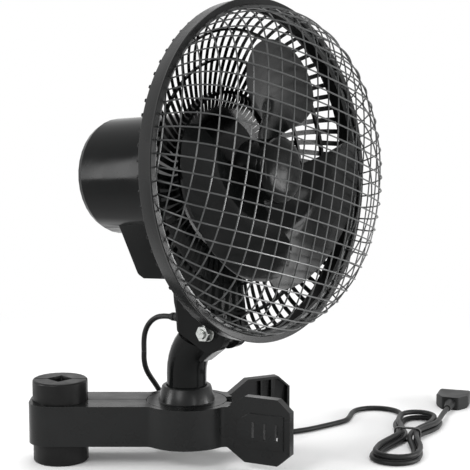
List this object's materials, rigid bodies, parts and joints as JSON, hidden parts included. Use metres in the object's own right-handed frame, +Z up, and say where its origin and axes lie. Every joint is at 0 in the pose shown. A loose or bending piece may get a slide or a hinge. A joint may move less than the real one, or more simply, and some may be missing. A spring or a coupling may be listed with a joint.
{
  "type": "clip fan",
  "caption": "Clip fan: sprung clamp with V-grooved pads, swivel neck, tilting head with motor, three-blade wheel and wire cage, mains cord tied in a hank.",
  "frame": {"origin": "axis of the gripped pole at the foot of the grip pads", "axes": "+Z up along the pole, +X along the clamp from the pole to the jaw pivot, -Y the side that the fan faces"},
  "size_m": [0.4505, 0.4153, 0.4298],
  "materials": {
    "gloss_black": "gloss",
    "ring_black": "satin",
    "satin_black": "satin",
    "grip_rubber": "matte",
    "wire_enamel": "satin",
    "zinc_steel": "bright",
    "dark_steel": "satin",
    "laminate_steel": "matte",
    "copper": "satin",
    "cord_vinyl": "satin",
    "plug_metal": "bright"
  },
  "bodies": {
    "clamp": {"front_jaw": "satin_black", "front_grip_pad": "grip_rubber", "swivel_socket": "satin_black", "jaw_spring": "zinc_steel", "cord_run": "cord_vinyl", "cord_hank": "cord_vinyl", "cord_tie": "satin_black", "plug_body": "cord_vinyl", "plug_pin_1": "plug_metal", "plug_pin_2": "plug_metal"},
    "moving_jaw": {"rear_jaw": "satin_black", "rear_grip_pad": "grip_rubber"},
    "neck_arm": {"neck": "gloss_black", "swivel_washer": "zinc_steel", "swivel_screw": "zinc_steel"},
    "fan_head": {"head_bracket": "gloss_black", "motor_cover": "gloss_black", "rear_grille": "gloss_black", "grille_ring": "ring_black", "front_grille": "wire_enamel", "stator_core": "laminate_steel", "field_coil_1": "copper", "field_coil_2": "copper", "field_coil_3": "copper", "field_coil_4": "copper", "front_bearing_bracket": "zinc_steel", "rear_bearing_bracket": "zinc_steel", "front_bush": "copper", "rear_bush": "copper", "tilt_bolt": "zinc_steel", "tilt_nut": "zinc_steel", "tilt_washer_1": "zinc_steel", "tilt_washer_2": "zinc_steel", "strain_relief": "cord_vinyl", "speed_switch": "gloss_black", "cover_screw_1": "dark_steel", "cover_screw_2": "dark_steel", "cord_loop": "cord_vinyl"},
    "rotor": {"rotor_shaft": "dark_steel", "rotor_core": "laminate_steel", "fan_blade": "gloss_black", "spinner": "gloss_black"},
    "knob": {"speed_knob": "satin_black"}
  },
  "joints": [
    {"name": "jaw_open", "type": "hinge", "parent": "clamp", "child": "moving_jaw", "pos_m": [0.119, 0, 0.039], "axis": [0, 0, -1], "range_deg": [0, 25], "stiffness_Nm_per_rad": 2, "springref_deg": -68.75, "deforming": ["jaw_spring"]},
    {"name": "neck_swivel", "type": "hinge", "parent": "clamp", "child": "neck_arm", "pos_m": [0.119, 0, 0.058], "axis": [0, 0, 1], "range_deg": [-60, 60], "deforming": ["cord_run", "cord_loop"]},
    {"name": "head_tilt", "type": "hinge", "parent": "neck_arm", "child": "fan_head", "pos_m": [0.15095, -0.02569, 0.13], "axis": [0.6266, 0.7793, 0], "range_deg": [-5, 40], "deforming": ["cord_loop", "cord_run"]},
    {"name": "rotor_spin", "type": "hinge", "parent": "fan_head", "child": "rotor", "pos_m": [0.14137, -0.01798, 0.27347], "axis": [0.7765, -0.6243, 0.0854], "continuous": true},
    {"name": "knob_turn", "type": "hinge", "parent": "fan_head", "child": "knob", "pos_m": [0.14137, -0.01798, 0.27347], "axis": [0.7765, -0.6243, 0.0854], "range_deg": [0, 120]}
  ]
}
